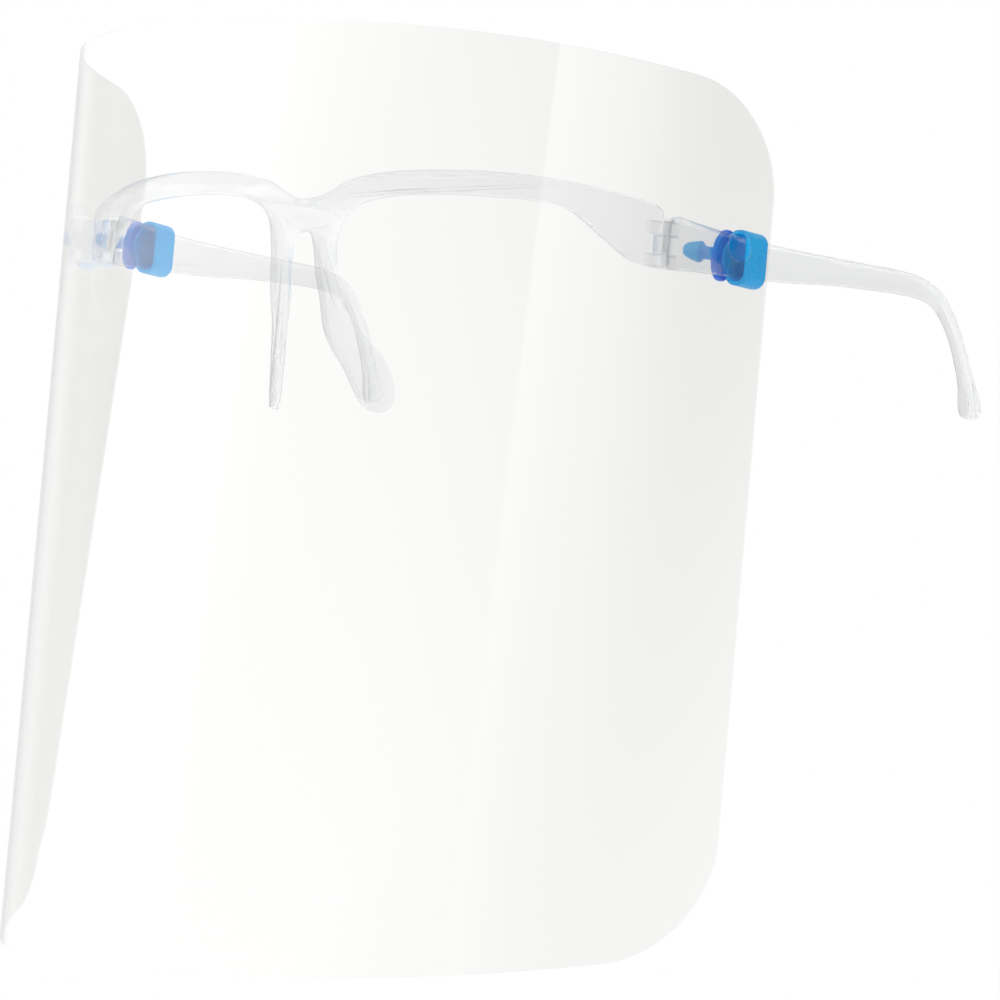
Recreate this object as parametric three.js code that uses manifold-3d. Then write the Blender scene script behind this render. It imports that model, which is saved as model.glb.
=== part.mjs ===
// Face shield worn like spectacles: a clear half-rim front with moulded nose pads, two folding
// temples, a blue silicone sleeve with a barbed stud on each temple, and a bent clear visor film.
// Millimetres, Z up. The wearer looks along -Y, and their left is +X.
import * as THREE from 'three';
import { mergeVertices } from 'three/addons/utils/BufferGeometryUtils.js';
import Module from 'manifold-3d';

const wasm = await Module();
wasm.setup();

// Front
const hingeHalfSpan = 72;
const browNotch = 5.8; // height of the top edge at the middle
const browBow = 22.5; // how far the middle of the front stands ahead of its ends
const browSetForward = 4.2; // front's end ahead of the hinge axis
const browDepth = 3.4;
const edgeRound = 0.8;
const roundSteps = 2;
const curveSteps = 3; // steps of a curve between two points of an outline
const padTurn = THREE.MathUtils.degToRad(44); // turn of a pad's face from the front
const padTurnStart = -13; // height where a nose stem starts to turn
const padTurnEnd = -23;
const noseSeat = [0, -25, -0.9]; // where the bridge sits on the nose, seen from the hinge line

// Hinges
const knuckleRadius = 2.5;
const knuckleGap = 0.3;
const knuckleLow = -1.4;
const knuckleHigh = 2.3;
const lugLow = -4.2;
const lugHigh = 5.1;
const lugReach = 5.4; // lugs run this far forwards of the axis into the front
const lugPastAxis = 0.6;
const screwRadius = 0.7;
const screwHeadRadius = 1.3;
const screwHeadHeight = 0.7;
const screwChamfer = 0.2;
const screwEndShort = 0.3; // screw ends this far inside the lower lug
const headGap = 0.05;
const boreRun = 1; // bores are cut this far past the lugs

// Temples
const templeSplay = THREE.MathUtils.degToRad(4.7);
const templeThickness = 3.2;
const earSlim = 0.14; // share of thickness lost where the temple bends down behind the ear
const earSlimStart = 80;
const earSlimEnd = 104;
const tipSwell = 0.32; // extra share of thickness in the bulb at the tip
const tipSwellStart = -12;
const tipSwellEnd = -18;
const tipGrooveRadius = 0.5;
const templeStart = knuckleRadius + knuckleGap;
const templeRoot = { low: -4.2, high: 6.8 };
const tongueReach = 2; // knuckle's tongue runs this far into the temple

// Silicone sleeves
const sleeveLength = 6.9;
const sleeveCorner = 2.5;
const sleeveInsideCorner = 1.3;
const sleeveWidth = 5.6;
const sleeveHeight = 11.7;
const sleeveWall = 0.9;
const studRise = THREE.MathUtils.degToRad(7); // stud points a little upwards
const studTurn = THREE.MathUtils.degToRad(15); // and forwards, square to the visor film
const studForward = 1.7; // stud ahead of the sleeve's middle
const sleeveAlong = { left: 28.7, right: 17.7 }; // distance behind the hinge axis
const sleeveMiddle = { left: 1.75, right: 1.6 }; // height of the sleeve's middle

// Visor film
const filmThickness = 0.4;
const filmHalfLength = 129; // along the film, from the middle to a side edge
const filmCorner = 24;
const cornerShare = 0.97; // rounding stops at this share of the corner, short of a knife edge
const filmStations = { along: 120, down: 10 };
const stationBunching = 0.98; // 0 spaces the stations evenly, 1 bunches them most at the side edges
const plotSteps = 129;
const filmTop = { front: 37.8, side: 35 };
const filmBottom = { front: -155, side: -142 };
const filmTopFront = 58.5; // film ahead of the hinge line at its top edge
const filmBottomFront = 73;
const filmTopBend = [0.0105, 0.016, -0.0018]; // curvature at the middle, half way and the edge
const filmBottomBend = [0.024, 0.0045, -0.002];
const normalStep = { along: 0.5, drop: 0.01 };
const normalMargin = 0.6; // normals are read at least this far from a side edge
const filmHoleRadius = 3.1;
const filmHoleAlong = 120.8;
const filmHoleHeight = 2.5;
const punchLength = 6;

const up = new THREE.Vector3(0, 1, 0); // a cylinder's own axis before it is turned
const roundSides = 32;
const lathedSides = 40;

const clearPlastic = { color: 0xe6ebee, roughness: 0.12, metalness: 0 };
const blueSilicone = { color: 0x0a8fe0, roughness: 0.45, metalness: 0 };
const screwSteel = { color: 0x8f949a, roughness: 0.35, metalness: 0.9 };
const clearFilm = { color: 0xeef2f3, roughness: 0.06, metalness: 0 };

function solidOf(geometry) {
  const bare = geometry.clone();
  bare.deleteAttribute('normal');
  bare.deleteAttribute('uv');
  const merged = mergeVertices(bare, 1e-4);
  return new wasm.Manifold(new wasm.Mesh({
    numProp: 3,
    vertProperties: new Float32Array(merged.attributes.position.array),
    triVerts: new Uint32Array(merged.index.array),
  }));
}

function geometryOf(solid) {
  const mesh = solid.getMesh();
  const geometry = new THREE.BufferGeometry();
  geometry.setAttribute('position', new THREE.BufferAttribute(mesh.vertProperties, 3));
  geometry.setIndex(new THREE.BufferAttribute(mesh.triVerts, 1));
  return geometry;
}

// Moves every vertex of a geometry by a function of its position.
function reshaped(geometry, move) {
  const places = geometry.attributes.position;
  const point = new THREE.Vector3();
  for (let i = 0; i < places.count; i += 1) {
    point.fromBufferAttribute(places, i);
    move(point);
    places.setXYZ(i, point.x, point.y, point.z);
  }
  return geometry;
}

// Mirrored copy across X = 0, with its triangles turned to face outwards again.
function mirrored(geometry) {
  const copy = mergeVertices(geometry.clone().scale(-1, 1, 1));
  const corners = copy.index.array;
  for (let i = 0; i < corners.length; i += 3) {
    [corners[i], corners[i + 1]] = [corners[i + 1], corners[i]];
  }
  return copy;
}

function upright(radius, low, high) {
  const geometry = new THREE.CylinderGeometry(radius, radius, high - low, roundSides);
  return geometry.rotateX(Math.PI / 2).translate(0, 0, (low + high) / 2);
}

function block(from, to) {
  const size = to.map((value, axis) => value - from[axis]);
  const middle = to.map((value, axis) => (value + from[axis]) / 2);
  return new THREE.BoxGeometry(...size).translate(...middle);
}

// Straight-line reading of a list of [at, value] pairs, at rising.
function reading(pairs, at) {
  if (at <= pairs[0][0]) return pairs[0][1];
  for (let i = 1; i < pairs.length; i += 1) {
    const [x0, y0] = pairs[i - 1];
    const [x1, y1] = pairs[i];
    if (at <= x1) return y0 + ((y1 - y0) * (at - x0)) / (x1 - x0);
  }
  return pairs[pairs.length - 1][1];
}

// The front is one outline seen from ahead, extruded and then bowed.
const frontEdges = {
  brow: [[3.5, 6.3], [7.1, 8], [10.7, 9.8], [15, 10.9], [21, 11.8], [30, 12.4], [40, 12.6],
    [50, 12.2], [60, 11], [69, 9]],
  end: [[71.8, 7.9], [73, 6.9], [73, -3.2], [72, lugLow]],
  underEnd: [[68.5, -4], [64.6, -1], [60.9, 2.2], [57.2, 5.3]],
  lens: [[53, 6.8], [45, 7.4], [36, 7.6], [27, 7.4], [20.5, 6.9], [15.5, 5.9], [11.8, 4.4], [9.2, 2],
    [8, -1.5], [7.7, -6], [8.2, -12], [9.2, -17.5], [11.3, -21.8]],
  padOuter: [[13.2, -24.6], [14.5, -27.9], [15.3, -31.6], [15.3, -34.2]],
  padTip: [[14.5, -36.3], [13, -37], [11.4, -36]],
  padInner: [[9.9, -32.8], [8.5, -29], [6.9, -25.3], [5.5, -21.2], [4.7, -16.5], [3.9, -11], [3.5, -6],
    [3, -3], [1.9, -1.3], [0, -0.9]],
};

const stemSetBack = [[-37, 12], [-34, 11.7], [-28, 9.5], [-23, 6.6], [-18, 3.6], [-10, 1.1], [-3, 0]];
const padMiddle = [[-37, 13.1], [-33.5, 12.7], [-26, 10.4], [-18, 6.9], [-3, 5.5]];

function points2(list) {
  return list.map(([x, z]) => new THREE.Vector2(x, z));
}

function frontOutline() {
  const half = new THREE.Path();
  half.moveTo(0, browNotch);
  half.splineThru(points2(frontEdges.brow));
  for (const [x, z] of frontEdges.end) half.lineTo(x, z);
  half.splineThru(points2(frontEdges.underEnd));
  half.splineThru(points2([...frontEdges.lens, ...frontEdges.padOuter, ...frontEdges.padTip,
    ...frontEdges.padInner]));
  const right = half.getPoints(curveSteps);
  const left = right.slice(1, -1).map((p) => new THREE.Vector2(-p.x, p.y)).reverse();
  return new THREE.Shape([...right, ...left]);
}

function bowFront(point) {
  const across = Math.min(Math.abs(point.x), hingeHalfSpan);
  const share = across / hingeHalfSpan;
  const setBack = reading(stemSetBack, point.z);
  const turning = THREE.MathUtils.smoothstep(-point.z, -padTurnStart, -padTurnEnd);
  const beyondMiddle = across - reading(padMiddle, point.z);
  point.y += -browSetForward - browBow * (1 - share * share) + setBack;
  if (point.z < padTurnStart) point.y += beyondMiddle * Math.tan(padTurn) * turning;
}

function screwBore() {
  return upright(screwRadius + knuckleGap, lugLow - boreRun, lugHigh + boreRun);
}

function frontGeometry() {
  const plate = new THREE.ExtrudeGeometry(frontOutline(), {
    depth: browDepth - 2 * edgeRound,
    bevelThickness: edgeRound,
    bevelSize: edgeRound,
    bevelOffset: -edgeRound,
    bevelSegments: roundSteps,
    steps: 1,
  });
  plate.translate(0, 0, edgeRound - browDepth / 2);
  plate.rotateX(Math.PI / 2);
  let front = solidOf(reshaped(plate, bowFront));
  for (const side of [-1, 1]) {
    const axis = side * hingeHalfSpan;
    const inner = axis - side * knuckleRadius;
    const outer = axis + side * lugPastAxis;
    for (const [low, high] of [[lugLow, knuckleLow - knuckleGap], [knuckleHigh + knuckleGap, lugHigh]]) {
      const arm = block([Math.min(inner, outer), -lugReach, low], [Math.max(inner, outer), 0, high]);
      front = front.add(solidOf(upright(knuckleRadius, low, high).translate(axis, 0, 0)));
      front = front.add(solidOf(arm));
    }
    const room = upright(knuckleRadius + knuckleGap, knuckleLow - knuckleGap, knuckleHigh + knuckleGap);
    front = front.subtract(solidOf(room.translate(axis, 0, 0)));
    front = front.subtract(solidOf(screwBore().translate(axis, 0, 0)));
  }
  return geometryOf(front);
}

// A temple is its side outline, [along, height] from the hinge axis, extruded across its thickness.
const templeEdges = [[12, 6.4], [24, 6], [40, 6.1], [55, 6.6], [70, 7.2], [85, 7.8], [93, 7.6], [99, 6.6],
  [104.4, 4.1], [109.2, -0.2], [112.6, -4.4], [116, -9.6], [118.9, -14], [120.8, -17.2], [121, -19.2],
  [120, -20.5], [118.3, -20.8], [116.7, -20.2], [115.6, -18.4], [114.7, -14.8], [112.6, -10],
  [109, -4.4], [105, -0.4], [101, 1.9], [95, 2.9], [86, 2.8], [75, 2.1], [60, 0.9], [45, -0.8],
  [30, -2.2], [20, -2.8], [12, -3.3]];

// Short grooves down the outer face of the tip: distance along the temple and height of each end.
const tipGrooves = [[[114.9, -13.6], [117.6, -22.4]], [[117.2, -13.2], [119.9, -22]]];

function placeBesideHead(point) {
  const along = point.x;
  const slim = 1 - earSlim * THREE.MathUtils.smoothstep(along, earSlimStart, earSlimEnd);
  const bulb = 1 + tipSwell * THREE.MathUtils.smoothstep(-point.z, -tipSwellStart, -tipSwellEnd);
  const across = -point.y * slim * bulb;
  point.x = hingeHalfSpan + Math.sin(templeSplay) * along + Math.cos(templeSplay) * across;
  point.y = Math.cos(templeSplay) * along - Math.sin(templeSplay) * across;
}

function grooveGeometry([from, to]) {
  const depth = -templeThickness / 2;
  const top = new THREE.Vector3(from[0], depth, from[1]);
  const bottom = new THREE.Vector3(to[0], depth, to[1]);
  const run = bottom.clone().sub(top);
  const cutter = new THREE.CylinderGeometry(tipGrooveRadius, tipGrooveRadius, run.length(), roundSides);
  const turn = new THREE.Quaternion().setFromUnitVectors(up, run.clone().normalize());
  return cutter.applyQuaternion(turn).translate(...top.add(bottom).multiplyScalar(0.5));
}

function leftTempleGeometry() {
  const outline = new THREE.Shape();
  outline.moveTo(templeStart, templeRoot.high);
  outline.splineThru(points2(templeEdges));
  outline.lineTo(templeStart, templeRoot.low);
  const bar = new THREE.ExtrudeGeometry(outline, {
    depth: templeThickness - 2 * edgeRound,
    bevelThickness: edgeRound,
    bevelSize: edgeRound,
    bevelOffset: -edgeRound,
    bevelSegments: roundSteps,
    curveSegments: curveSteps,
  });
  bar.translate(0, 0, edgeRound - templeThickness / 2);
  bar.rotateX(Math.PI / 2);
  const half = templeThickness / 2;
  const tongue = block([0, -half, knuckleLow], [templeStart + tongueReach, half, knuckleHigh]);
  const knuckle = upright(knuckleRadius, knuckleLow, knuckleHigh);
  let temple = solidOf(reshaped(bar, placeBesideHead))
    .add(solidOf(reshaped(tongue, placeBesideHead)))
    .add(solidOf(knuckle.translate(hingeHalfSpan, 0, 0)))
    .subtract(solidOf(screwBore().translate(hingeHalfSpan, 0, 0)));
  for (const groove of tipGrooves) {
    temple = temple.subtract(solidOf(reshaped(grooveGeometry(groove), placeBesideHead)));
  }
  return geometryOf(temple);
}

function screwGeometry(side) {
  const end = lugLow + screwEndShort;
  const underHead = lugHigh + headGap;
  const top = lugHigh + screwHeadHeight;
  const profile = [[0, end], [screwRadius, end], [screwRadius, underHead], [screwHeadRadius, underHead],
    [screwHeadRadius, top - screwChamfer], [screwHeadRadius - screwChamfer, top], [0, top]];
  const screw = new THREE.LatheGeometry(points2(profile), roundSides);
  return screw.rotateX(Math.PI / 2).translate(side * hingeHalfSpan, 0, 0);
}

// A sleeve is a soft rectangular tube on the temple, with a round flange and a barbed stud.

function roundedRectangle(Kind, width, height, radius) {
  const path = new Kind();
  const x = width / 2;
  const z = height / 2;
  path.moveTo(x - radius, -z);
  path.absarc(x - radius, -z + radius, radius, -Math.PI / 2, 0);
  path.absarc(x - radius, z - radius, radius, 0, Math.PI / 2);
  path.absarc(-x + radius, z - radius, radius, Math.PI / 2, Math.PI);
  path.absarc(-x + radius, -z + radius, radius, Math.PI, 1.5 * Math.PI);
  return path;
}

const studProfile = [[0, 2.4], [3.2, 2.4], [3.2, 3.4], [5.2, 3.4], [5.45, 3.7], [5.45, 4.6], [5.2, 4.9],
  [1.4, 4.9], [1.4, 9.1], [2.25, 9.2], [2.25, 9.7], [1.95, 11.1], [1.75, 12.1], [1.2, 13], [0, 13.4]];

function sleeveGeometry(name) {
  const rim = roundedRectangle(THREE.Shape, sleeveWidth, sleeveHeight, sleeveCorner);
  const inside = { width: sleeveWidth - 2 * sleeveWall, height: sleeveHeight - 2 * sleeveWall };
  rim.holes.push(roundedRectangle(THREE.Path, inside.width, inside.height, sleeveInsideCorner));
  const tube = new THREE.ExtrudeGeometry(rim, { depth: sleeveLength, bevelEnabled: false, curveSegments: 8 });
  tube.rotateX(Math.PI / 2).translate(0, sleeveLength / 2, 0);
  const stud = new THREE.LatheGeometry(points2(studProfile), lathedSides).rotateZ(Math.PI / 2);
  stud.rotateY(studRise).rotateZ(studTurn).translate(0, -studForward, 0);
  const side = name === 'left' ? 1 : -1;
  const along = sleeveAlong[name];
  const clearHalf = [inside.width / 2, sleeveLength, inside.height / 2 - sleeveInsideCorner];
  const clear = block(clearHalf.map((value) => -value), clearHalf);
  const sleeve = geometryOf(solidOf(tube).add(solidOf(stud)).subtract(solidOf(clear)));
  return sleeve.rotateZ(-side * templeSplay).translate(
    side * (hingeHalfSpan + Math.sin(templeSplay) * along),
    Math.cos(templeSplay) * along,
    sleeveMiddle[name],
  );
}

// The visor film is a sheet ruled between two bent edges.
// Plan curve of half the film, as [along, x, y] steps, for a curvature given at three stations.
function planCurve(bend, front) {
  const length = filmHalfLength / plotSteps;
  const curve = [[0, 0, -front]];
  let heading = 0;
  for (let i = 1; i <= plotSteps; i += 1) {
    const share = (i - 0.5) / plotSteps;
    const curvature = reading([[0, bend[0]], [0.5, bend[1]], [1, bend[2]]], share);
    const [along, x, y] = curve[i - 1];
    const middle = heading + (curvature * length) / 2;
    curve.push([along + length, x + Math.cos(middle) * length, y + Math.sin(middle) * length]);
    heading += curvature * length;
  }
  return curve;
}

const topCurve = planCurve(filmTopBend, filmTopFront);
const bottomCurve = planCurve(filmBottomBend, filmBottomFront);

function planPlace(curve, along) {
  const x = reading(curve.map(([at, value]) => [at, value]), along);
  const y = reading(curve.map(([at, , value]) => [at, value]), along);
  return [x, y];
}

// Point of the film's middle surface, along from the middle and drop from 0 at the top to 1.
function filmPoint(along, drop) {
  const reach = Math.abs(along);
  const [x0, y0] = planPlace(topCurve, reach);
  const [x1, y1] = planPlace(bottomCurve, reach);
  const outwards = (reach / filmHalfLength) ** 2;
  const top = filmTop.front + (filmTop.side - filmTop.front) * outwards;
  const bottom = filmBottom.front + (filmBottom.side - filmBottom.front) * outwards;
  const x = x0 + (x1 - x0) * drop;
  return new THREE.Vector3(along < 0 ? -x : x, y0 + (y1 - y0) * drop, top + (bottom - top) * drop);
}

function filmNormal(along, drop) {
  const middle = THREE.MathUtils.clamp(drop, normalStep.drop, 1 - normalStep.drop);
  const near = filmPoint(along - normalStep.along, middle);
  const far = filmPoint(along + normalStep.along, middle);
  const above = filmPoint(along, middle - normalStep.drop);
  const below = filmPoint(along, middle + normalStep.drop);
  return far.sub(near).cross(above.sub(below)).normalize();
}

function filmGeometry() {
  const sheet = new THREE.BoxGeometry(2 * filmHalfLength, 1, 1, filmStations.along, 1, filmStations.down);
  const bunching = (Math.PI / 2) * stationBunching;
  const lastNormal = filmHalfLength - normalMargin;
  const height = filmTop.front - filmBottom.front;
  reshaped(sheet, (point) => {
    // Stations bunch towards the side edges, so that the rounded corners come out smooth.
    const share = Math.sin((point.x / filmHalfLength) * bunching) / Math.sin(bunching);
    const along = share * filmHalfLength;
    const intoCorner = Math.max(0, Math.abs(along) - (filmHalfLength - filmCorner));
    const inset = filmCorner - Math.sqrt(Math.max(0, filmCorner ** 2 - intoCorner ** 2));
    const edge = Math.min(inset, filmCorner * cornerShare) / height;
    const drop = edge + (0.5 - point.z) * (1 - 2 * edge);
    const outwards = -point.y * filmThickness;
    const normal = filmNormal(THREE.MathUtils.clamp(along, -lastNormal, lastNormal), drop);
    point.copy(filmPoint(along, drop)).addScaledVector(normal, outwards);
  });
  let film = solidOf(sheet);
  for (const side of [-1, 1]) {
    const along = side * filmHoleAlong;
    const drop = (filmTop.side - filmHoleHeight) / (filmTop.side - filmBottom.side);
    const middle = filmPoint(along, drop);
    const punch = new THREE.CylinderGeometry(filmHoleRadius, filmHoleRadius, punchLength, lathedSides);
    const turn = new THREE.Quaternion().setFromUnitVectors(up, filmNormal(along, drop));
    punch.applyQuaternion(turn).translate(middle.x, middle.y, middle.z);
    film = film.subtract(solidOf(punch));
  }
  return geometryOf(film);
}

const group = new THREE.Group();
group.name = 'glasses_face_shield';

function addPiece(name, geometry, finish) {
  const placed = geometry.translate(-noseSeat[0], -noseSeat[1], -noseSeat[2]);
  placed.computeVertexNormals();
  const mesh = new THREE.Mesh(placed, new THREE.MeshStandardMaterial(finish));
  mesh.name = name;
  group.add(mesh);
}

addPiece('frame_front', frontGeometry(), clearPlastic);
addPiece('temple_left', leftTempleGeometry(), clearPlastic);
addPiece('temple_right', mirrored(leftTempleGeometry()), clearPlastic);
addPiece('hinge_screw_left', screwGeometry(1), screwSteel);
addPiece('hinge_screw_right', screwGeometry(-1), screwSteel);
addPiece('clip_left', sleeveGeometry('left'), blueSilicone);
addPiece('clip_right', sleeveGeometry('right'), blueSilicone);
addPiece('visor_film', filmGeometry(), clearFilm);

export default group;
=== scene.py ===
import math

import bpy
from mathutils import Matrix, Vector


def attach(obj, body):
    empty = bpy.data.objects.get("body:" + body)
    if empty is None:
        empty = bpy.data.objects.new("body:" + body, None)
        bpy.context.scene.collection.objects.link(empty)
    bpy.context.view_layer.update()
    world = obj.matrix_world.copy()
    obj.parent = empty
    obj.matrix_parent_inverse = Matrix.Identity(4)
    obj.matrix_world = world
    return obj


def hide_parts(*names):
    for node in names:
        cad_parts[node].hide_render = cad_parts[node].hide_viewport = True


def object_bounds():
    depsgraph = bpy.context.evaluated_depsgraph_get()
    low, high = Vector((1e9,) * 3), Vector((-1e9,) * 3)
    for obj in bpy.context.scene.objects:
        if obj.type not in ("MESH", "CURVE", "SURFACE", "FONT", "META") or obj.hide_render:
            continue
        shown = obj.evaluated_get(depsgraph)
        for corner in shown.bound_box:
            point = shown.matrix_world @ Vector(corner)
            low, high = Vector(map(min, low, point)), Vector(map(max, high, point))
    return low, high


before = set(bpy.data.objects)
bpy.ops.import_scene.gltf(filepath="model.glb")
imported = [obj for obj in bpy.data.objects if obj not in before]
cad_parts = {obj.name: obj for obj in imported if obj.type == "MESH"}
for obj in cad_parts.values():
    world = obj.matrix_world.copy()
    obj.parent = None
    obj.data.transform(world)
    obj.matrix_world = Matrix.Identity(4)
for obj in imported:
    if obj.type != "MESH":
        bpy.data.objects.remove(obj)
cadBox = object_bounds()

cameraSet = {
    "lookAt": (0.03688, 0.02500, -0.05226),
    "distance": 1.0,
    "azimuth": 33.74,  # turned from straight ahead towards the wearer's left
    "elevation": -4.05,
    "roll": 4.99,
    "lens": 173.2,
    "sensor": 36,
}


def addCamera():
    data = bpy.data.cameras.new("camera")
    camera = bpy.data.objects.new("camera", data)
    bpy.context.scene.collection.objects.link(camera)
    data.lens = cameraSet["lens"]
    data.sensor_width = cameraSet["sensor"]
    data.clip_end = 30
    turn = math.radians(cameraSet["azimuth"])
    rise = math.radians(cameraSet["elevation"])
    back = Vector((math.sin(turn) * math.cos(rise), -math.cos(turn) * math.cos(rise), math.sin(rise)))
    level = Vector((math.cos(turn), math.sin(turn), 0))
    up = back.cross(level)
    lean = math.radians(cameraSet["roll"])
    right = level * math.cos(lean) + up * math.sin(lean)
    up = back.cross(right)
    place = Matrix((right, up, back)).transposed().to_4x4()
    place.translation = Vector(cameraSet["lookAt"]) + back * cameraSet["distance"]
    camera.matrix_world = place
    bpy.context.scene.camera = camera


addCamera()
print("camera is set")

studioSet = {
    "skyLevel": 1.0,
    "floorDrop": 0.25,  # floor below the lowest point of the film
    "floorSize": 30.0,
    "ringRadius": 1.9,
    "ringLow": -0.75,
    "ringHigh": 1.1,
    "ringStrength": 2.0,
    "edgeBearing": 75.6,  # bearing of the hard edge of the bright screen
    "screenReach": (24.0, 45.0),  # degrees that the screen fades over, and its growth per metre of height
    "fadeHeights": (-0.11, 0.42),
    "fadeBearings": 25,  # degrees of the levels below that the fade runs through
    "leastReach": 4,
    "softboxes": [("overheadSoftbox", (0.3, -0.3, 1.5), 0.7, 9)],
    # brightness round the room by the bearing from straight ahead of the wearer, low down and high up
    "lowLevels": [
        (-180, 0.14), (-172, 0.22), (-163, 0.3), (-150, 0.36), (-128, 0.45), (-112, 0.62),
        (-98, 0.66), (-86, 0.8), (-45, 1.0), (17, 1.0), (31, 0.97), (44, 0.92), (55, 0.85),
        (63, 0.78), (75.3, 0.7), (75.9, 0.73), (84.4, 0.55), (90.6, 0.47), (95.6, 0.3),
        (99.4, 0.1), (102, 0.04), (120, 0.03), (142, 0.14), (180, 0.14),
    ],
    "highLevels": [
        (-180, 0.14), (-172, 0.22), (-163, 0.3), (-150, 0.36), (-128, 0.45), (-112, 0.62),
        (-98, 0.66), (-86, 0.8), (-45, 1.0), (-20, 0.97), (3, 0.75), (23, 0.62), (53, 0.41),
        (68, 0.33), (75.3, 0.31), (75.9, 0.72), (84.4, 0.55), (90.6, 0.47), (95.6, 0.3),
        (99.4, 0.1), (102, 0.04), (120, 0.03), (142, 0.14), (180, 0.14),
    ],
}


def addMath(nodes, links, kind, *values):
    step = nodes.new("ShaderNodeMath")
    step.operation = kind
    for socket, value in zip(step.inputs, values):
        if isinstance(value, (int, float)):
            socket.default_value = value
        else:
            links.new(value, socket)
    return step.outputs[0]


def addLevels(nodes, links, bearing, levels):
    ramp = nodes.new("ShaderNodeValToRGB")
    links.new(addMath(nodes, links, "MULTIPLY_ADD", bearing, 1 / 360, 0.5), ramp.inputs["Fac"])
    stops = ramp.color_ramp.elements
    for i, (angle, level) in enumerate(levels):
        at = (angle + 180) / 360
        stop = stops[i] if i < 2 else stops.new(at)
        stop.position = at
        stop.color = (level, level, level, 1)
    return ramp.outputs["Color"]


def ringGlow():
    glow = bpy.data.materials.new("ringGlow")
    glow.use_nodes = True
    nodes, links = glow.node_tree.nodes, glow.node_tree.links
    nodes.remove(nodes["Principled BSDF"])
    place = nodes.new("ShaderNodeTexCoord")
    parts = nodes.new("ShaderNodeSeparateXYZ")
    links.new(place.outputs["Object"], parts.inputs[0])
    ahead = addMath(nodes, links, "MULTIPLY", parts.outputs["Y"], -1)
    turned = addMath(nodes, links, "ARCTAN2", parts.outputs["X"], ahead)
    bearing = addMath(nodes, links, "MULTIPLY", turned, 180 / math.pi)
    edge = studioSet["edgeBearing"]
    reach, growth = studioSet["screenReach"]
    height = parts.outputs["Z"]
    grown = addMath(nodes, links, "MULTIPLY", height, growth)
    width = addMath(nodes, links, "MAXIMUM", addMath(nodes, links, "ADD", grown, reach),
                    studioSet["leastReach"])
    past = addMath(nodes, links, "MAXIMUM", addMath(nodes, links, "SUBTRACT", bearing, edge), 0)
    faded = addMath(nodes, links, "MULTIPLY", past, studioSet["fadeBearings"])
    squeezed = addMath(nodes, links, "DIVIDE", faded, width)
    before = addMath(nodes, links, "MINIMUM", bearing, edge)
    bearing = addMath(nodes, links, "ADD", before, squeezed)
    blend = nodes.new("ShaderNodeMix")
    blend.data_type = "RGBA"
    low, high = studioSet["fadeHeights"]
    rise = nodes.new("ShaderNodeMapRange")
    rise.inputs["From Min"].default_value = low
    rise.inputs["From Max"].default_value = high
    links.new(height, rise.inputs["Value"])
    links.new(rise.outputs[0], blend.inputs["Factor"])
    links.new(addLevels(nodes, links, bearing, studioSet["lowLevels"]), blend.inputs["A"])
    links.new(addLevels(nodes, links, bearing, studioSet["highLevels"]), blend.inputs["B"])
    lamp = nodes.new("ShaderNodeEmission")
    lamp.inputs["Strength"].default_value = studioSet["ringStrength"]
    links.new(blend.outputs["Result"], lamp.inputs["Color"])
    links.new(lamp.outputs[0], nodes["Material Output"].inputs["Surface"])
    return glow


def addStudio():
    scene = bpy.context.scene
    scene.view_settings.view_transform = "Standard"
    world = bpy.data.worlds.new("sky")
    scene.world = world
    world.use_nodes = True
    sky = world.node_tree.nodes["Background"]
    sky.inputs["Color"].default_value = (1, 1, 1, 1)
    sky.inputs["Strength"].default_value = studioSet["skyLevel"]

    bpy.ops.mesh.primitive_grid_add(size=studioSet["floorSize"], x_subdivisions=8, y_subdivisions=8,
                                    location=(0, 0, cadBox[0][2] - studioSet["floorDrop"]))
    floor = bpy.context.object
    floor.name = "floor"
    paint = bpy.data.materials.new("floorPaint")
    paint.use_nodes = True
    shader = paint.node_tree.nodes["Principled BSDF"]
    shader.inputs["Base Color"].default_value = (1, 1, 1, 1)
    shader.inputs["Roughness"].default_value = 1
    shader.inputs["Specular IOR Level"].default_value = 0
    floor.data.materials.append(paint)

    low, high = studioSet["ringLow"], studioSet["ringHigh"]
    bpy.ops.mesh.primitive_cylinder_add(radius=studioSet["ringRadius"], depth=high - low, vertices=120,
                                        end_fill_type="NOTHING", location=(0, 0, (low + high) / 2))
    bpy.ops.object.transform_apply(location=True)
    ring = bpy.context.object
    ring.name = "lightRing"
    ring.visible_camera = False
    ring.visible_diffuse = False
    ring.visible_shadow = False
    ring.data.materials.append(ringGlow())

    for name, spot, size, power in studioSet["softboxes"]:
        data = bpy.data.lights.new(name, "AREA")
        data.size = size
        data.energy = power
        lamp = bpy.data.objects.new(name, data)
        scene.collection.objects.link(lamp)
        lamp.location = spot
        lamp.rotation_euler = Vector(spot).to_track_quat("Z", "Y").to_euler()
        lamp.visible_diffuse = False



def newMaterial(name):
    material = bpy.data.materials.new(name)
    material.use_nodes = True
    return material, material.node_tree.nodes, material.node_tree.links


def addNoise(nodes, links, scale, detail=3, stretch=(1, 1, 1)):
    place = nodes.new("ShaderNodeTexCoord")
    mapping = nodes.new("ShaderNodeMapping")
    mapping.inputs["Scale"].default_value = stretch
    noise = nodes.new("ShaderNodeTexNoise")
    noise.inputs["Scale"].default_value = scale
    noise.inputs["Detail"].default_value = detail
    links.new(place.outputs["Object"], mapping.inputs["Vector"])
    links.new(mapping.outputs[0], noise.inputs["Vector"])
    return noise


def addRange(nodes, links, source, low, high, fromLow=0.3, fromHigh=0.7):
    spread = nodes.new("ShaderNodeMapRange")
    spread.inputs["From Min"].default_value = fromLow
    spread.inputs["From Max"].default_value = fromHigh
    spread.inputs["To Min"].default_value = low
    spread.inputs["To Max"].default_value = high
    links.new(source, spread.inputs["Value"])
    return spread.outputs[0]


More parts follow.
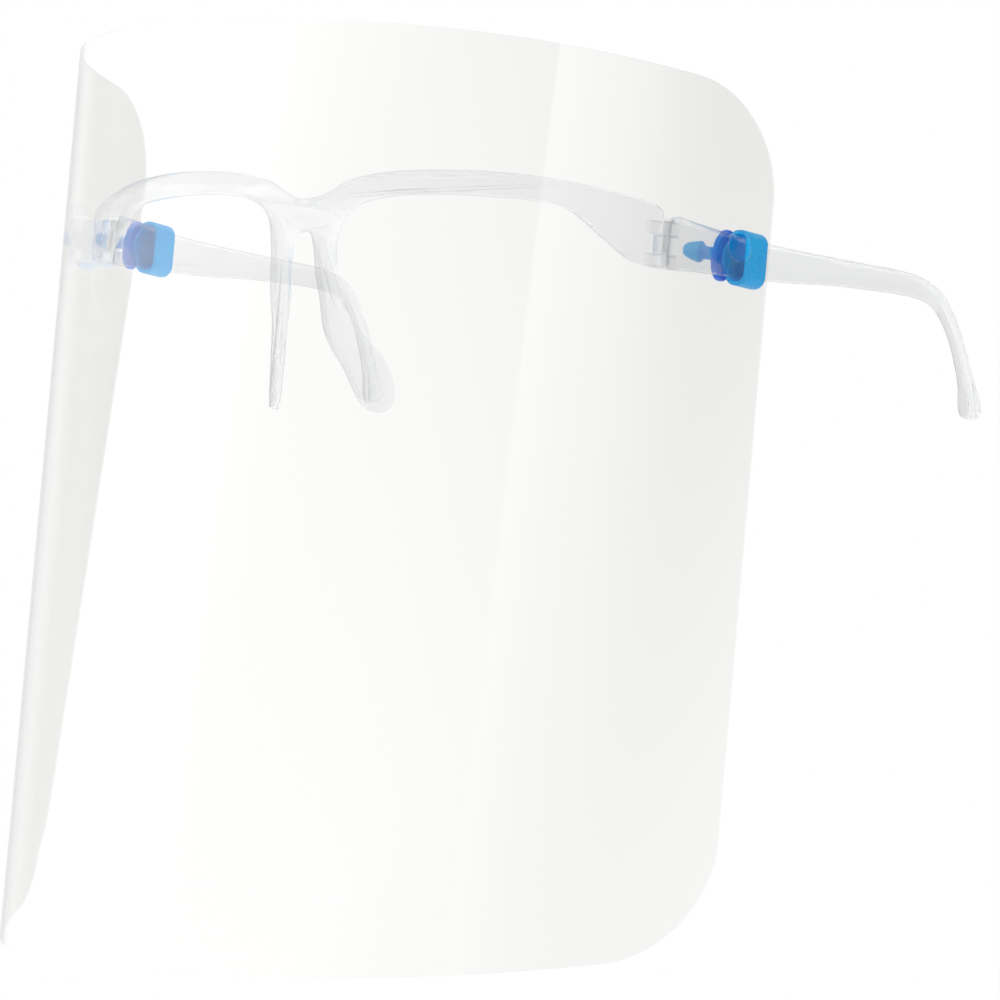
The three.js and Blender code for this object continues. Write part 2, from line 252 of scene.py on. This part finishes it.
plasticSet = {
    "glassColour": (0.97, 0.975, 0.98, 1),
    "face": (0.972, 0.975, 0.98, 1),  # colour let through by a surface seen square on
    "rim": (0.68, 0.70, 0.72, 1),  # and by one seen edge on: a grey painted shade that darkens the rims
    "rimStart": 0.55,
    "bend": 1.49,  # how strongly the plastic bends light
    "glassShare": 0.17,  # share of the light that is bent, the rest passes straight on
    "roughLow": 0.02,
    "roughHigh": 0.08,
    "hazeScale": 90,
    "ripple": 0.03,
    "rippleScale": 220,
    "rippleDepth": 0.0004,
}


def clearPlastic():
    material, nodes, links = newMaterial("clearPlastic")
    shader = nodes["Principled BSDF"]
    shader.inputs["Base Color"].default_value = plasticSet["glassColour"]
    shader.inputs["IOR"].default_value = plasticSet["bend"]
    shader.inputs["Transmission Weight"].default_value = 1
    haze = addNoise(nodes, links, plasticSet["hazeScale"])
    roughness = addRange(nodes, links, haze.outputs["Fac"], plasticSet["roughLow"], plasticSet["roughHigh"])
    links.new(roughness, shader.inputs["Roughness"])
    ripple = addNoise(nodes, links, plasticSet["rippleScale"], 1)
    bump = nodes.new("ShaderNodeBump")
    bump.inputs["Strength"].default_value = plasticSet["ripple"]
    bump.inputs["Distance"].default_value = plasticSet["rippleDepth"]
    links.new(ripple.outputs["Fac"], bump.inputs["Height"])
    links.new(bump.outputs[0], shader.inputs["Normal"])
    rim = nodes.new("ShaderNodeLayerWeight")
    rim.inputs["Blend"].default_value = 0.3
    straight = nodes.new("ShaderNodeBsdfTransparent")
    # painted shade: the straight-through light is tinted grey where the surface is seen edge on, darkening the
    # rims
    tint = nodes.new("ShaderNodeMix")
    tint.data_type = "RGBA"
    tint.inputs["A"].default_value = plasticSet["face"]
    tint.inputs["B"].default_value = plasticSet["rim"]
    edge = addRange(nodes, links, rim.outputs["Facing"], 0, 1, plasticSet["rimStart"], 1)
    links.new(edge, tint.inputs["Factor"])
    links.new(tint.outputs["Result"], straight.inputs["Color"])
    share = addRange(nodes, links, rim.outputs["Facing"], plasticSet["glassShare"], 0.95, 0.35, 1)
    mix = nodes.new("ShaderNodeMixShader")
    links.new(share, mix.inputs["Fac"])
    links.new(straight.outputs[0], mix.inputs[1])
    links.new(shader.outputs[0], mix.inputs[2])
    links.new(mix.outputs[0], nodes["Material Output"].inputs["Surface"])
    return material


filmSet = {
    "tint": (0.957, 0.957, 0.952, 1),
    "bend": 1.6,
    "roughLow": 0.005,
    "roughHigh": 0.03,
    "hazeScale": 25,
}


def clearFilm():
    material, nodes, links = newMaterial("clearFilm")
    nodes.remove(nodes["Principled BSDF"])
    through = nodes.new("ShaderNodeBsdfTransparent")
    through.inputs["Color"].default_value = filmSet["tint"]
    gloss = nodes.new("ShaderNodeBsdfGlossy")
    gloss.inputs["Color"].default_value = (1, 1, 1, 1)
    haze = addNoise(nodes, links, filmSet["hazeScale"])
    links.new(addRange(nodes, links, haze.outputs["Fac"], filmSet["roughLow"], filmSet["roughHigh"]),
              gloss.inputs["Roughness"])
    # light leaving the film bends by the inverse amount, so the inner side is given that
    side = nodes.new("ShaderNodeNewGeometry")
    bend = nodes.new("ShaderNodeMapRange")
    bend.inputs["To Min"].default_value = filmSet["bend"]
    bend.inputs["To Max"].default_value = 1 / filmSet["bend"]
    links.new(side.outputs["Backfacing"], bend.inputs["Value"])
    mirror = nodes.new("ShaderNodeFresnel")
    links.new(bend.outputs[0], mirror.inputs["IOR"])
    mix = nodes.new("ShaderNodeMixShader")
    links.new(mirror.outputs[0], mix.inputs["Fac"])
    links.new(through.outputs[0], mix.inputs[1])
    links.new(gloss.outputs[0], mix.inputs[2])
    links.new(mix.outputs[0], nodes["Material Output"].inputs["Surface"])
    return material


siliconeSet = {
    "shallow": (0.0, 0.56, 0.98, 1),  # colour of the thin walls
    "deepPaintedShade": (0.0, 0.17, 0.86, 1),  # and the painted shade where the silicone is thick: a darker blue standing in for the light lost on its way through
    "through": (0.02, 0.66, 0.97, 1),
    "throughShare": 0.18,
    "glowShare": 0.15,
    "bend": 1.41,
    "roughLow": 0.22,
    "roughHigh": 0.42,
    "clouding": 0.12,
    "cloudScale": 260,
    "grainScale": 900,
    "grain": 0.15,
    "grainDepth": 0.0001,
}


def blueSilicone():
    material, nodes, links = newMaterial("blueSilicone")
    shader = nodes["Principled BSDF"]
    # painted shade: the mesh's depth mark paints the disc and sleeve a darker blue, standing in for light lost
    # in thick silicone; the noise clouds add random tone
    depth = nodes.new("ShaderNodeAttribute")
    depth.attribute_name = "depth"
    cloud = addNoise(nodes, links, siliconeSet["cloudScale"], 2)
    spread = siliconeSet["clouding"]
    clouds = addRange(nodes, links, cloud.outputs["Fac"], -spread, spread)
    paintedShadeAndClouds = addMath(nodes, links, "ADD", depth.outputs["Fac"], clouds)
    colour = nodes.new("ShaderNodeMix")
    colour.data_type = "RGBA"
    colour.inputs["A"].default_value = siliconeSet["shallow"]
    colour.inputs["B"].default_value = siliconeSet["deepPaintedShade"]
    links.new(paintedShadeAndClouds, colour.inputs["Factor"])
    links.new(colour.outputs["Result"], shader.inputs["Base Color"])
    shader.inputs["IOR"].default_value = siliconeSet["bend"]
    grain = addNoise(nodes, links, siliconeSet["grainScale"], 4)
    roughness = addRange(nodes, links, grain.outputs["Fac"], siliconeSet["roughLow"], siliconeSet["roughHigh"])
    links.new(roughness, shader.inputs["Roughness"])
    bump = nodes.new("ShaderNodeBump")
    bump.inputs["Strength"].default_value = siliconeSet["grain"]
    bump.inputs["Distance"].default_value = siliconeSet["grainDepth"]
    links.new(grain.outputs["Fac"], bump.inputs["Height"])
    links.new(bump.outputs[0], shader.inputs["Normal"])
    glow = nodes.new("ShaderNodeBsdfTranslucent")
    links.new(colour.outputs["Result"], glow.inputs["Color"])
    clear = nodes.new("ShaderNodeBsdfTransparent")
    clear.inputs["Color"].default_value = siliconeSet["through"]
    soft = nodes.new("ShaderNodeMixShader")
    soft.inputs["Fac"].default_value = siliconeSet["glowShare"]
    links.new(shader.outputs[0], soft.inputs[1])
    links.new(glow.outputs[0], soft.inputs[2])
    thin = addMath(nodes, links, "SUBTRACT", 1, depth.outputs["Fac"])
    share = addMath(nodes, links, "MULTIPLY", thin, siliconeSet["throughShare"])
    mix = nodes.new("ShaderNodeMixShader")
    links.new(share, mix.inputs["Fac"])
    links.new(soft.outputs[0], mix.inputs[1])
    links.new(clear.outputs[0], mix.inputs[2])
    links.new(mix.outputs[0], nodes["Material Output"].inputs["Surface"])
    return material


steelSet = {
    "colour": (0.9, 0.91, 0.93, 1),
    "metal": 0.5,
    "roughLow": 0.35,
    "roughHigh": 0.6,
    "turningScale": 700,
}


def screwSteel():
    material, nodes, links = newMaterial("screwSteel")
    shader = nodes["Principled BSDF"]
    shader.inputs["Base Color"].default_value = steelSet["colour"]
    shader.inputs["Metallic"].default_value = steelSet["metal"]
    turning = addNoise(nodes, links, steelSet["turningScale"], 3, (1, 1, 6))
    links.new(addRange(nodes, links, turning.outputs["Fac"], steelSet["roughLow"], steelSet["roughHigh"]),
              shader.inputs["Roughness"])
    return material



def clearSelection():
    if bpy.context.object and bpy.context.object.mode != "OBJECT":
        bpy.ops.object.mode_set(mode="OBJECT")
    bpy.ops.object.select_all(action="DESELECT")


def pick(piece):
    clearSelection()
    piece.select_set(True)
    bpy.context.view_layer.objects.active = piece


def copyOf(node, name):
    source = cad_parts[node]
    piece = bpy.data.objects.new(name, source.data.copy())
    bpy.context.scene.collection.objects.link(piece)
    piece.data.materials.clear()
    pick(piece)
    bpy.ops.object.mode_set(mode="EDIT")
    bpy.ops.mesh.select_all(action="SELECT")
    bpy.ops.mesh.remove_doubles(threshold=0.00002)
    bpy.ops.mesh.normals_make_consistent(inside=False)
    bpy.ops.object.mode_set(mode="OBJECT")
    return piece


def finishPiece(piece, material, node, body, smooth=35):
    pick(piece)
    if piece.data.attributes.get("custom_normal"):
        bpy.ops.mesh.customdata_custom_splitnormals_clear()
    bpy.ops.object.shade_smooth_by_angle(angle=math.radians(smooth))
    piece.data.materials.append(material)
    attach(piece, body)
    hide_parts(node)


hingeSet = {
    "halfSpan": 0.072,
    "ahead": 0.025,  # hinge line behind the frame's origin
    "raised": 0.0009,
    "splay": 4.7,
}

sleeveSet = {
    "size": (0.0056, 0.0069, 0.0117),
    "wall": 0.0009,
    "corner": 0.0025,
    "cornerSteps": 6,
    "room": (0.0038, 0.0138, 0.0073),  # kept clear for the temple
    "rise": 7,  # degrees that the stud points upwards
    "turn": 15,  # and forwards
    "forward": 0.0017,
    "sides": 48,
    "voxel": 0.00016,
    "softening": 4,
    # side, distance behind the hinge, height of the middle
    "left": (1, 0.0287, 0.00175),
    "right": (-1, 0.0177, 0.0016),
}

# the stud from its root to its tip, as distance out from the temple and radius
studSteps = [(0.0024, 0.0032), (0.0034, 0.0032), (0.0034, 0.0052), (0.0037, 0.00545), (0.0046, 0.00545),
             (0.0049, 0.0052), (0.00495, 0.0018), (0.0055, 0.0014), (0.0082, 0.0014), (0.0090, 0.0017),
             (0.0092, 0.00225), (0.0097, 0.0023), (0.0111, 0.00195), (0.0121, 0.0017), (0.0130, 0.0012),
             (0.0133, 0.0006)]
# painted shade: how much darker blue is painted, for what lies further out along the stud than each distance
paintedShadeMarks = [(0.0088, 0.0), (0.0051, 0.35), (0.0032, 1.0)]
# painted shade: the darker blue given to the sleeve's tube
tubePaintedShade = 0.12


def applyModifier(piece, kind, **values):
    change = piece.modifiers.new(kind.lower(), kind)
    for name, value in values.items():
        setattr(change, name, value)
    pick(piece)
    bpy.ops.object.modifier_apply(modifier=change.name)


def selectFaces(mesh, wanted):
    bpy.context.tool_settings.mesh_select_mode = (False, False, True)
    bpy.ops.object.mode_set(mode="EDIT")
    bpy.ops.mesh.select_all(action="DESELECT")
    bpy.ops.object.mode_set(mode="OBJECT")
    for face in mesh.polygons:
        face.select = wanted(face)


def makeTube():
    width, length, height = sleeveSet["size"]
    clearSelection()
    bpy.ops.mesh.primitive_cube_add(size=1, scale=(width, length, height))
    tube = bpy.context.object
    bpy.ops.object.transform_apply(location=False, rotation=False, scale=True)
    mesh = tube.data
    selectFaces(mesh, lambda face: abs(face.normal.y) > 0.9)
    bpy.ops.object.mode_set(mode="EDIT")
    bpy.ops.mesh.delete(type="FACE")
    bpy.ops.mesh.select_mode(type="EDGE")
    bpy.ops.mesh.select_all(action="DESELECT")
    bpy.ops.object.mode_set(mode="OBJECT")
    for edge in mesh.edges:
        first, second = (mesh.vertices[i].co for i in edge.vertices)
        edge.select = abs(first.y - second.y) > length / 2
    bpy.ops.object.mode_set(mode="EDIT")
    bpy.ops.mesh.bevel(offset=sleeveSet["corner"], segments=sleeveSet["cornerSteps"])
    bpy.ops.object.mode_set(mode="OBJECT")
    applyModifier(tube, "SOLIDIFY", thickness=sleeveSet["wall"], offset=-1)
    return tube


# place of the stud on its sleeve
def studPlace():
    turn = Matrix.Rotation(math.radians(sleeveSet["turn"]), 4, "Z")
    rise = Matrix.Rotation(math.radians(sleeveSet["rise"]), 4, "Y")
    return Matrix.Translation((0, -sleeveSet["forward"], 0)) @ turn @ rise


def makeStud():
    clearSelection()
    start, radius = studSteps[0]
    bpy.ops.mesh.primitive_circle_add(vertices=sleeveSet["sides"], radius=radius, fill_type="NGON",
                                      location=(-start, 0, 0), rotation=(0, math.radians(-90), 0))
    stud = bpy.context.object
    bpy.ops.object.transform_apply(location=True, rotation=True, scale=True)
    bpy.ops.object.mode_set(mode="EDIT")
    bpy.ops.mesh.select_all(action="SELECT")
    for (at, before), (to, after) in zip(studSteps, studSteps[1:]):
        bpy.ops.mesh.extrude_region_move(TRANSFORM_OT_translate={"value": (at - to, 0, 0)})
        grow = after / before
        bpy.ops.transform.resize(value=(1, grow, grow), center_override=(-to, 0, 0))
    bpy.ops.mesh.select_all(action="SELECT")
    bpy.ops.mesh.normals_make_consistent(inside=False)
    bpy.ops.object.mode_set(mode="OBJECT")
    pick(stud)
    stud.matrix_world = studPlace()
    bpy.ops.object.transform_apply(location=True, rotation=True, scale=True)
    return stud


# painted shade: each vertex gets how much darker blue it is painted, by how far out along the stud it lies
def markPaintedShade(sleeve):
    alongStud = studPlace().inverted()
    depth = sleeve.data.attributes.new("depth", "FLOAT", "POINT")
    for vertex, mark in zip(sleeve.data.vertices, depth.data):
        out = -(alongStud @ vertex.co).x
        mark.value = next((value for start, value in paintedShadeMarks if out > start), tubePaintedShade)


# one soft moulding with its stud to -X, which both temples wear
def makeSleeve():
    sleeve = makeTube()
    stud = makeStud()
    clearSelection()
    bpy.ops.mesh.primitive_cube_add(size=1, scale=sleeveSet["room"])
    room = bpy.context.object
    bpy.ops.object.transform_apply(location=False, rotation=False, scale=True)
    applyModifier(stud, "BOOLEAN", object=room, operation="DIFFERENCE", solver="EXACT")
    bpy.data.objects.remove(room)
    clearSelection()
    stud.select_set(True)
    sleeve.select_set(True)
    bpy.context.view_layer.objects.active = sleeve
    bpy.ops.object.join()
    applyModifier(sleeve, "REMESH", mode="VOXEL", voxel_size=sleeveSet["voxel"])
    applyModifier(sleeve, "SMOOTH", factor=0.5, iterations=sleeveSet["softening"])
    markPaintedShade(sleeve)
    return sleeve


def wearSleeve(model, name, worn):
    side, along, height = sleeveSet[worn]
    splay = math.radians(hingeSet["splay"])
    sleeve = bpy.data.objects.new(name, model.data.copy())
    bpy.context.scene.collection.objects.link(sleeve)
    place = Matrix.Translation((side * (hingeSet["halfSpan"] + math.sin(splay) * along),
                                hingeSet["ahead"] + math.cos(splay) * along, hingeSet["raised"] + height))
    sleeve.data.transform(place @ Matrix.Rotation(-side * splay, 4, "Z"))
    return sleeve


screwSet = {
    "shank": 0.0007,
    "low": -0.0039,
    "neck": 0.00515,
    "head": 0.0013,
    "top": 0.0058,
    "slot": (0.003, 0.00035, 0.0006),
    "slotTurn": 35,
    "sides": 48,
    "chamfer": 0.0001,
}


# a small cheese-head screw with one slot, upright on the hinge line's middle
def makeScrew():
    low, neck, top = (screwSet[key] + hingeSet["raised"] for key in ("low", "neck", "top"))
    clearSelection()
    bpy.ops.mesh.primitive_cylinder_add(vertices=screwSet["sides"], radius=screwSet["shank"],
                                        depth=neck - low, location=(0, hingeSet["ahead"], (low + neck) / 2))
    screw = bpy.context.object
    bpy.ops.object.transform_apply(location=True, rotation=False, scale=False)
    selectFaces(screw.data, lambda face: face.normal.z > 0.9)
    bpy.ops.object.mode_set(mode="EDIT")
    wider = screwSet["head"] / screwSet["shank"]
    middle = (0, hingeSet["ahead"], neck)
    bpy.ops.mesh.extrude_region_move(TRANSFORM_OT_translate={"value": (0, 0, 0)})
    bpy.ops.transform.resize(value=(wider, wider, 1), center_override=middle)
    bpy.ops.mesh.extrude_region_move(TRANSFORM_OT_translate={"value": (0, 0, top - neck)})
    bpy.ops.mesh.select_all(action="SELECT")
    bpy.ops.mesh.normals_make_consistent(inside=False)
    bpy.ops.object.mode_set(mode="OBJECT")
    clearSelection()
    bpy.ops.mesh.primitive_cube_add(size=1, scale=screwSet["slot"], location=(0, hingeSet["ahead"], top),
                                    rotation=(0, 0, math.radians(screwSet["slotTurn"])))
    cutter = bpy.context.object
    applyModifier(screw, "BEVEL", width=screwSet["chamfer"], segments=2, limit_method="ANGLE")
    applyModifier(screw, "BOOLEAN", object=cutter, operation="DIFFERENCE", solver="EXACT")
    bpy.data.objects.remove(cutter)
    return screw


def placeScrew(model, name, side):
    screw = bpy.data.objects.new(name, model.data.copy())
    bpy.context.scene.collection.objects.link(screw)
    screw.data.transform(Matrix.Translation((side * hingeSet["halfSpan"], 0, 0)))
    return screw


addStudio()
print("studio is set")
plastic = clearPlastic()
film = clearFilm()
silicone = blueSilicone()
steel = screwSteel()
for node, name, material, body, slot in [
    ("frame_front", "glassesFront", plastic, "front", "clear_frame"),
    ("temple_left", "templeLeft", plastic, "temple_left", "clear_frame"),
    ("temple_right", "templeRight", plastic, "temple_right", "clear_frame"),
    ("visor_film", "visorFilm", film, "visor", "clear_film"),
]:
    finishPiece(copyOf(node, name), material, node, body)
    print(name, "is made")

sleeveModel = makeSleeve()
for node, name, worn, body in [("clip_left", "sleeveLeft", "left", "clip_left"),
                               ("clip_right", "sleeveRight", "right", "temple_right")]:
    finishPiece(wearSleeve(sleeveModel, name, worn), silicone, node, body, 60)
bpy.data.objects.remove(sleeveModel)
print("sleeves are made")

screwModel = makeScrew()
for node, name, side in [("hinge_screw_left", "screwLeft", 1), ("hinge_screw_right", "screwRight", -1)]:
    finishPiece(placeScrew(screwModel, name, side), steel, node, "front")
bpy.data.objects.remove(screwModel)
print("screws are made")

clearSelection()
